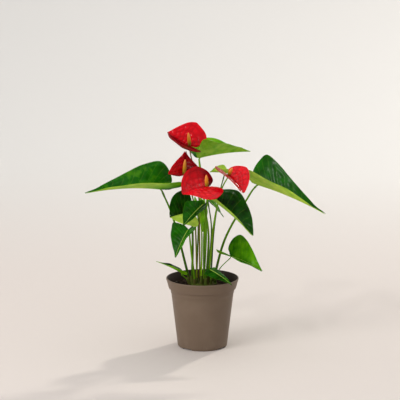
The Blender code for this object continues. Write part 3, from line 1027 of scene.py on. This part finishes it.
def veins_group():
    """Masks of a blade's side veins and of its margin."""
    found = bpy.data.node_groups.get("blade_veins")
    if found:
        return found
    tree, nodes, start, end = new_group(
        "blade_veins",
        [("UV", "NodeSocketVector", None), ("Count", "NodeSocketFloat", 11.0),
         ("Slant", "NodeSocketFloat", 0.16), ("Width", "NodeSocketFloat", 0.10)],
        ["Veins", "Margin"],
    )
    place = nodes.split(start.outputs["UV"])
    across = nodes.math("ABSOLUTE", nodes.math("MULTIPLY_ADD", place[0], 2.0, -1.0))
    slanted = nodes.math("MULTIPLY_ADD", across, start.outputs["Slant"], place[1])
    phase = nodes.math("MULTIPLY", slanted, start.outputs["Count"])
    near = nodes.math("PINGPONG", phase, 0.5)
    veins = nodes.remap(near, 0.0, start.outputs["Width"], 1.0, 0.0, smooth=True)
    fade = nodes.remap(across, 0.75, 0.97, 1.0, 0.0, smooth=True)
    nodes.feed(end, "Veins", nodes.math("MULTIPLY", veins, fade))
    nodes.feed(end, "Margin", nodes.remap(across, 0.95, 1.0, 0.0, 1.0, smooth=True))
    return tree


class Finish(Nodes):
    """A new material: its nodes, its shader, its object coordinates and a mottle."""

    def __init__(self, name, blotch_scale, grain_scale, stretch=None):
        self.material = bpy.data.materials.new(name)
        self.material.use_nodes = True
        super().__init__(self.material.node_tree)
        self.shader = self.tree.nodes["Principled BSDF"]
        self.place = self.add("ShaderNodeTexCoord").outputs["Object"]
        where = self.place
        if stretch:
            mapping = self.add("ShaderNodeMapping")
            self.feed(mapping, "Vector", where)
            self.feed(mapping, "Scale", stretch)
            where = mapping.outputs[0]
        mottle = self.group(
            mottle_group(), Vector=where, Blotch_Scale=blotch_scale, Grain_Scale=grain_scale,
        )
        self.blotches = mottle.outputs["Blotches"]
        self.grain = mottle.outputs["Grain"]

    def mottled(self, value, change_low, change_high):
        """The value, changed by the blotches."""
        change = self.remap(self.blotches, 0, 1, change_low, change_high)
        return self.math("ADD", value, change)

    def shade(self, **values):
        """Sets inputs of the shader, named with _ for a space."""
        for key, value in values.items():
            self.feed(self.shader, key.replace("_", " "), value)

    def surface(self, base, gloss, pattern, strength, distance):
        """The base colour, a roughness that follows a pattern, and a bump of the grain."""
        bump = self.add("ShaderNodeBump")
        self.feed(bump, "Strength", strength)
        self.feed(bump, "Distance", distance)
        self.feed(bump, "Height", self.grain)
        roughness = self.remap(pattern, 0, 1, *gloss)
        self.shade(Base_Color=base, Roughness=roughness, Normal=bump.outputs[0])


def leaf_material(name, settings, under):
    """Waxy green that follows the tone of painted light and shade, with paler veins and margin; dull
    underneath.
    """
    skin = Finish(name, 70.0, 1500.0)
    uv_map = skin.add("ShaderNodeUVMap", uv_map="UVMap").outputs[0]
    veins = skin.group(
        veins_group(), UV=uv_map, Count=float(SIDE_VEINS), Slant=SIDE_VEIN_SLANT, Width=0.10,
    )
    tone = skin.attribute("tone")
    if under:
        tone = skin.math("MULTIPLY_ADD", tone, 0.72, 0.26)
    tone = skin.mottled(tone, -0.12, 0.12)
    # Painted light and shade: shaded green at 0, then lit green, then the pale green of backlight at 1.
    base = skin.ramp(tone, [
        (0.0, settings.dark), (0.34, settings.green), (0.68, settings.bright), (1.0, settings.pale),
    ])
    line = skin.math("MULTIPLY", veins.outputs["Veins"], 0.40 if under else 0.16)
    base = skin.mix(line, base, skin.mix(0.45, base, settings.vein))
    edge = skin.math("MULTIPLY", veins.outputs["Margin"], 0.35)
    base = skin.mix(edge, base, skin.mix(0.5, base, settings.bright))
    gloss = (0.46, 0.58) if under else (0.20, 0.32)
    skin.surface(base, gloss, skin.blotches, 0.10, 0.4 * MM)
    skin.shade(
        Specular_IOR_Level=0.05, Coat_Weight=0.0 if under else 0.07, Coat_Roughness=0.16,
        Subsurface_Weight=0.06, Subsurface_Radius=(0.3, 1.0, 0.1), Subsurface_Scale=1.5 * MM,
    )
    return skin.material


def stalk_surface(skin, base, settings):
    """A stalk's skin over the base colour, with a brown sheath round its foot that also paints the
    shade low in the clump.
    """
    # Brown sheath round the foot, which is also painted shade low in the clump.
    foot = skin.remap(skin.attribute("length"), 0.0, 0.09, 1.0, 0.0, smooth=True)
    base = skin.mix(foot, base, settings.base)
    skin.surface(base, (0.34, 0.50), skin.blotches, 0.15, 0.4 * MM)
    skin.shade(Specular_IOR_Level=0.12)


def leaf_stalk_material(settings, leaf):
    """Green with painted shade that darkens it towards the foot, and as pale as a vein under the blade.
    """
    skin = Finish("leaf_stalk_skin", 45.0, 1400.0)
    tone = skin.mottled(skin.attribute("tone"), -0.14, 0.14)
    # Painted shade: the tone falls towards the foot, low in the clump of stalks.
    shade = skin.remap(skin.attribute("length"), 0.05, 0.45, 0.42, 0.0, smooth=True)
    tone = skin.math("SUBTRACT", tone, shade)
    base = skin.ramp(tone, [(0.0, settings.dark), (0.85, settings.light), (1.0, leaf.vein)])
    stalk_surface(skin, base, settings)
    skin.shade(Subsurface_Weight=0.05, Subsurface_Scale=1.5 * MM)
    return skin.material


def flower_stalk_material(settings):
    """Between reddish and the lit green of painted light, by the stalk's tone."""
    skin = Finish("flower_stalk_skin", 60.0, 1400.0)
    green = skin.mottled(skin.attribute("tone"), -0.25, 0.25)
    stalk_surface(skin, skin.mix(green, settings.flower, settings.light), settings)
    return skin.material


def spathe_material(name, settings, back):
    """Red that follows the tone of painted light and shade, glossy on its face and dull on its back."""
    skin = Finish(name, 55.0, 1600.0)
    tone = skin.mottled(skin.attribute("tone"), -0.16, 0.06)
    bright = settings.back_red if back else settings.red
    # Painted light and shade: most shaded maroon, shaded deep red, then lit red.
    base = skin.ramp(tone, [(0.1, settings.maroon), (0.55, settings.deep_red), (0.95, bright)])
    gloss = (0.50, 0.62) if back else (0.22, 0.32)
    skin.surface(base, gloss, skin.blotches, 0.06, 0.4 * MM)
    skin.shade(Specular_IOR_Level=0.05, Coat_Weight=0.0 if back else 0.22, Coat_Roughness=0.09)
    return skin.material


def spadix_material(settings):
    """Greenish at the foot, yellow in the middle and orange at the tip."""
    skin = Finish("spadix_flowers", 160.0, 2400.0)
    share = skin.mottled(skin.attribute("length"), -0.08, 0.08)
    base = skin.ramp(share, [
        (0.05, settings.spadix_base), (0.50, settings.spadix_middle), (0.90, settings.spadix_tip),
    ])
    skin.surface(base, (0.45, 0.65), skin.grain, 0.25, 0.3 * MM)
    skin.shade(Specular_IOR_Level=0.15)
    return skin.material


def crown_material(settings):
    """Brown and green streaks that run upwards."""
    skin = Finish("crown_sheaths", 160.0, 2200.0, stretch=(1.0, 1.0, 0.2))
    base = skin.mix(skin.blotches, settings.base, settings.dark)
    base = skin.mix(skin.math("MULTIPLY", skin.grain, 0.4), base, settings.sheath)
    skin.surface(base, (0.55, 0.80), skin.grain, 0.5, 0.6 * MM)
    skin.shade(Specular_IOR_Level=0.10)
    return skin.material


def soil_material(name, settings, chips):
    """Peat, or bark chips that each have a tone of their own."""
    crumbs = Finish(name, 190.0, 1500.0)
    other = crumbs.attribute("tone") if chips else crumbs.grain
    base = crumbs.mix(
        crumbs.math("MULTIPLY", other, crumbs.blotches), settings.peat, settings.bark,
    )
    crumbs.surface(base, (0.70, 0.95), crumbs.blotches, 0.8, 1.0 * MM)
    crumbs.shade(Specular_IOR_Level=0.06)
    return crumbs.material


def pot_material(settings):
    """Plastic with dust and water marks, mostly low down, and painted shade that darkens the inner
    wall.
    """
    plastic = Finish("pot_plastic", 26.0, 2600.0)
    height = plastic.split(plastic.place)[2]
    low = plastic.remap(height, 0.0, 0.16 * POT_BOX[1].z, 0.55, 0.0, smooth=True)
    spots = plastic.remap(plastic.blotches, 0.45, 1.0, 0.0, 0.35)
    dust = plastic.math("MULTIPLY", plastic.math("ADD", low, 0.25), spots)
    base = plastic.mix(dust, settings.plastic, settings.dust)
    # Painted shade: faces turned in towards the axis, the inner wall, take the shade colour.
    outwards = plastic.add("ShaderNodeVectorMath", operation="MULTIPLY")
    plastic.feed(outwards, 0, plastic.place)
    plastic.feed(outwards, 1, (1.0, 1.0, 0.0))
    facing = plastic.add("ShaderNodeVectorMath", operation="DOT_PRODUCT")
    plastic.feed(facing, 0, outwards.outputs[0])
    plastic.feed(facing, 1, plastic.add("ShaderNodeNewGeometry").outputs["Normal"])
    inside = plastic.remap(facing.outputs["Value"], -0.02, -0.005, 0.96, 0.0, smooth=True)
    base = plastic.mix(inside, base, settings.painted_inner_shade)
    plastic.surface(base, (0.40, 0.52), plastic.blotches, 0.12, 0.3 * MM)
    plastic.shade(Specular_IOR_Level=0.14)
    return plastic.material


def floor_material(settings):
    """Floor colour that turns into the backdrop's colour behind the plant."""
    paint = Finish("studio_floor", 1.2, 40.0)
    depth = paint.split(paint.place)[1]
    behind = paint.remap(depth, 0.2, 2.0, 0.0, 1.0, smooth=True)
    plain = paint.mix(behind, settings.floor, settings.backdrop)
    tint = paint.remap(paint.blotches, 0, 1, 0.0, 0.04)
    paint.shade(Base_Color=paint.mix(tint, plain, settings.patches), Roughness=0.75)
    return paint.material


# --- stage ---------------------------------------------------------------------------

# The floor runs from FLOOR_FRONT to FLOOR_BACK and bends up into a wall, in m.
FLOOR_FRONT = -4.0
FLOOR_BACK = 1.6
FLOOR_BEND = 1.2
FLOOR_BEND_STEPS = 16
WALL_TOP = 4.0
FLOOR_WIDTH = 10.0

# What the camera and most lamps point at.
VIEW_MIDDLE = (-0.004, 0.0, 0.246)

# Each lamp's name, place, aim, width in m, power in W and tint.
LAMPS = (
    ("sun_side", (2.20, 2.80, 2.70), VIEW_MIDDLE, 0.36, 135.0, (1.0, 0.95, 0.86)),
    ("front_fill", (-2.2, -1.5, 1.3), VIEW_MIDDLE, 1.1, 30.0, (1.0, 0.97, 0.94)),
    ("window_glint", (-1.3, -1.9, 2.1), VIEW_MIDDLE, 0.14, 10.0, (1.0, 0.98, 0.95)),
    ("top_fill", (0.2, 0.1, 2.4), VIEW_MIDDLE, 1.4, 4.0, (1.0, 0.98, 0.96)),
    ("backdrop_wash", (0.0, 1.0, 2.6), (0.0, 2.6, 0.4), 1.6, 2.0, (1.0, 0.99, 0.98)),
)
AIR_TINT = (1.0, 0.985, 0.970)
AIR_STRENGTH = 0.64


def make_floor(settings):
    """A floor that curves up into a backdrop."""
    bm = bmesh.new()
    profile = [(FLOOR_FRONT, 0.0), (FLOOR_BACK, 0.0)]
    for step in range(1, FLOOR_BEND_STEPS + 1):
        angle = 0.5 * math.pi * step / FLOOR_BEND_STEPS
        rise = FLOOR_BEND * (1 - math.cos(angle))
        profile.append((FLOOR_BACK + FLOOR_BEND * math.sin(angle), rise))
    profile.append((FLOOR_BACK + FLOOR_BEND, WALL_TOP))
    verts = [bm.verts.new((-0.5 * FLOOR_WIDTH, y, z)) for y, z in profile]
    edges = [bm.edges.new(pair) for pair in zip(verts, verts[1:])]
    made = bmesh.ops.extrude_edge_only(bm, edges=edges)
    far = [item for item in made["geom"] if isinstance(item, bmesh.types.BMVert)]
    bmesh.ops.translate(bm, verts=far, vec=(FLOOR_WIDTH, 0, 0))
    bmesh.ops.recalc_face_normals(bm, faces=bm.faces)
    floor = new_object("studio_floor", bm)
    floor.data.shade_smooth()
    floor.data.materials.append(floor_material(settings))


def add_lamp(name, spot, aim, width, power, tint):
    """A round lamp."""
    light = bpy.data.lights.new(name, "AREA")
    light.shape = "DISK"
    light.size = width
    light.energy = power
    light.color = tint
    lamp = bpy.data.objects.new(name, light)
    lamp.location = spot
    lamp.rotation_euler = (Vector(aim) - Vector(spot)).to_track_quat("-Z", "Y").to_euler()
    bpy.context.scene.collection.objects.link(lamp)


def make_stage(settings):
    """The floor, the lamps, the light of the air and the camera."""
    scene = bpy.context.scene
    make_floor(settings)
    for lamp in LAMPS:
        add_lamp(*lamp)
    world = bpy.data.worlds.new("studio_air")
    world.use_nodes = True
    air = world.node_tree.nodes["Background"]
    air.inputs["Color"].default_value = (*AIR_TINT, 1.0)
    air.inputs["Strength"].default_value = AIR_STRENGTH
    scene.world = world
    camera = bpy.data.cameras.new("camera")
    camera.lens = settings.lens
    camera.sensor_width = 36.0
    viewer = bpy.data.objects.new("camera", camera)
    back = Vector((0, -math.cos(settings.pitch), math.sin(settings.pitch)))
    viewer.location = Vector(VIEW_MIDDLE) + back * settings.distance
    viewer.rotation_euler = (math.pi / 2 - settings.pitch, 0, 0)
    scene.collection.objects.link(viewer)
    scene.camera = viewer
    scene.view_settings.view_transform = "Standard"


# --- operators and panel -------------------------------------------------------------


class ANTHURIUM_OT_leaves(bpy.types.Operator):
    """Builds the leaf blades"""

    bl_idname = "anthurium.leaves"
    bl_label = "Leaves"

    def execute(self, context):
        settings = context.scene.anthurium_leaves
        upper = leaf_material("leaf_upper_face", settings, under=False)
        under = leaf_material("leaf_under_face", settings, under=True)
        for index, blade in enumerate(LEAVES):
            make_leaf(blade, index, settings, [upper, under])
        return {"FINISHED"}


class ANTHURIUM_OT_leaf_stalks(bpy.types.Operator):
    """Builds the leaf stalks, each running on as its leaf's midrib"""

    bl_idname = "anthurium.leaf_stalks"
    bl_label = "Leaf Stalks"

    def execute(self, context):
        settings = context.scene.anthurium_stalks
        material = leaf_stalk_material(settings, context.scene.anthurium_leaves)
        for stalk, blade in zip(PETIOLES, LEAVES):
            make_leaf_stalk(stalk, blade, settings, material)
        return {"FINISHED"}


class ANTHURIUM_OT_spathes(bpy.types.Operator):
    """Builds the glossy spathes"""

    bl_idname = "anthurium.spathes"
    bl_label = "Spathes"

    def execute(self, context):
        settings = context.scene.anthurium_flowers
        face = spathe_material("spathe_face", settings, back=False)
        back = spathe_material("spathe_back", settings, back=True)
        for index, blade in enumerate(SPATHES):
            make_spathe(blade, index, settings, [face, back])
        return {"FINISHED"}


class ANTHURIUM_OT_flower_stalks(bpy.types.Operator):
    """Builds the flower stalks"""

    bl_idname = "anthurium.flower_stalks"
    bl_label = "Flower Stalks"

    def execute(self, context):
        material = flower_stalk_material(context.scene.anthurium_stalks)
        for stalk, blade in zip(PEDUNCLES, SPATHES):
            make_flower_stalk(stalk, blade, material)
        return {"FINISHED"}


class ANTHURIUM_OT_spadices(bpy.types.Operator):
    """Builds the spadices"""

    bl_idname = "anthurium.spadices"
    bl_label = "Spadices"

    def execute(self, context):
        material = spadix_material(context.scene.anthurium_flowers)
        blades = {blade.name: blade for blade in SPATHES}
        for name, spathe, tip in SPADICES:
            make_spadix(name, blades[spathe], tip, material)
        return {"FINISHED"}


class ANTHURIUM_OT_crown(bpy.types.Operator):
    """Builds the crown and the sheaths round the stalks' feet"""

    bl_idname = "anthurium.crown"
    bl_label = "Crown"

    def execute(self, context):
        make_crown(crown_material(context.scene.anthurium_stalks))
        return {"FINISHED"}


class ANTHURIUM_OT_soil(bpy.types.Operator):
    """Builds the lumpy soil and its bark chips"""

    bl_idname = "anthurium.soil"
    bl_label = "Soil"

    def execute(self, context):
        settings = context.scene.anthurium_soil
        make_soil(settings, soil_material("soil_peat", settings, chips=False))
        make_chips(settings, soil_material("soil_bark", settings, chips=True))
        return {"FINISHED"}


class ANTHURIUM_OT_pot(bpy.types.Operator):
    """Builds the moulded pot"""

    bl_idname = "anthurium.pot"
    bl_label = "Pot"

    def execute(self, context):
        settings = context.scene.anthurium_pot
        make_pot(settings, pot_material(settings))
        return {"FINISHED"}


class ANTHURIUM_OT_stage(bpy.types.Operator):
    """Builds the floor, lights and camera"""

    bl_idname = "anthurium.stage"
    bl_label = "Stage"

    def execute(self, context):
        make_stage(context.scene.anthurium_stage)
        return {"FINISHED"}


OPERATORS = (
    ANTHURIUM_OT_stage,
    ANTHURIUM_OT_pot,
    ANTHURIUM_OT_soil,
    ANTHURIUM_OT_crown,
    ANTHURIUM_OT_leaves,
    ANTHURIUM_OT_leaf_stalks,
    ANTHURIUM_OT_spathes,
    ANTHURIUM_OT_flower_stalks,
    ANTHURIUM_OT_spadices,
)


class ANTHURIUM_PT_sidebar(bpy.types.Panel):
    """Lists the plant's pieces and their settings"""

    bl_idname = "ANTHURIUM_PT_sidebar"
    bl_label = "Potted Anthurium"
    bl_space_type = "VIEW_3D"
    bl_region_type = "UI"
    bl_category = "Anthurium"

    def draw(self, context):
        layout = self.layout
        for operator in OPERATORS:
            layout.operator(operator.bl_idname)
        for name, group in SETTINGS.items():
            box = layout.box()
            for key in group.__annotations__:
                box.prop(getattr(context.scene, name), key)


CLASSES = (*SETTINGS.values(), *OPERATORS, ANTHURIUM_PT_sidebar)


def register():
    for item in CLASSES:
        bpy.utils.register_class(item)
    for name, group in SETTINGS.items():
        setattr(bpy.types.Scene, name, PointerProperty(type=group))


def unregister():
    for name in SETTINGS:
        delattr(bpy.types.Scene, name)
    for item in reversed(CLASSES):
        bpy.utils.unregister_class(item)


def main():
    register()
    bpy.ops.anthurium.stage()
    bpy.ops.anthurium.pot()
    bpy.ops.anthurium.soil()
    bpy.ops.anthurium.crown()
    bpy.ops.anthurium.leaves()
    bpy.ops.anthurium.leaf_stalks()
    bpy.ops.anthurium.spathes()
    bpy.ops.anthurium.flower_stalks()
    bpy.ops.anthurium.spadices()


if __name__ == "__main__":
    main()
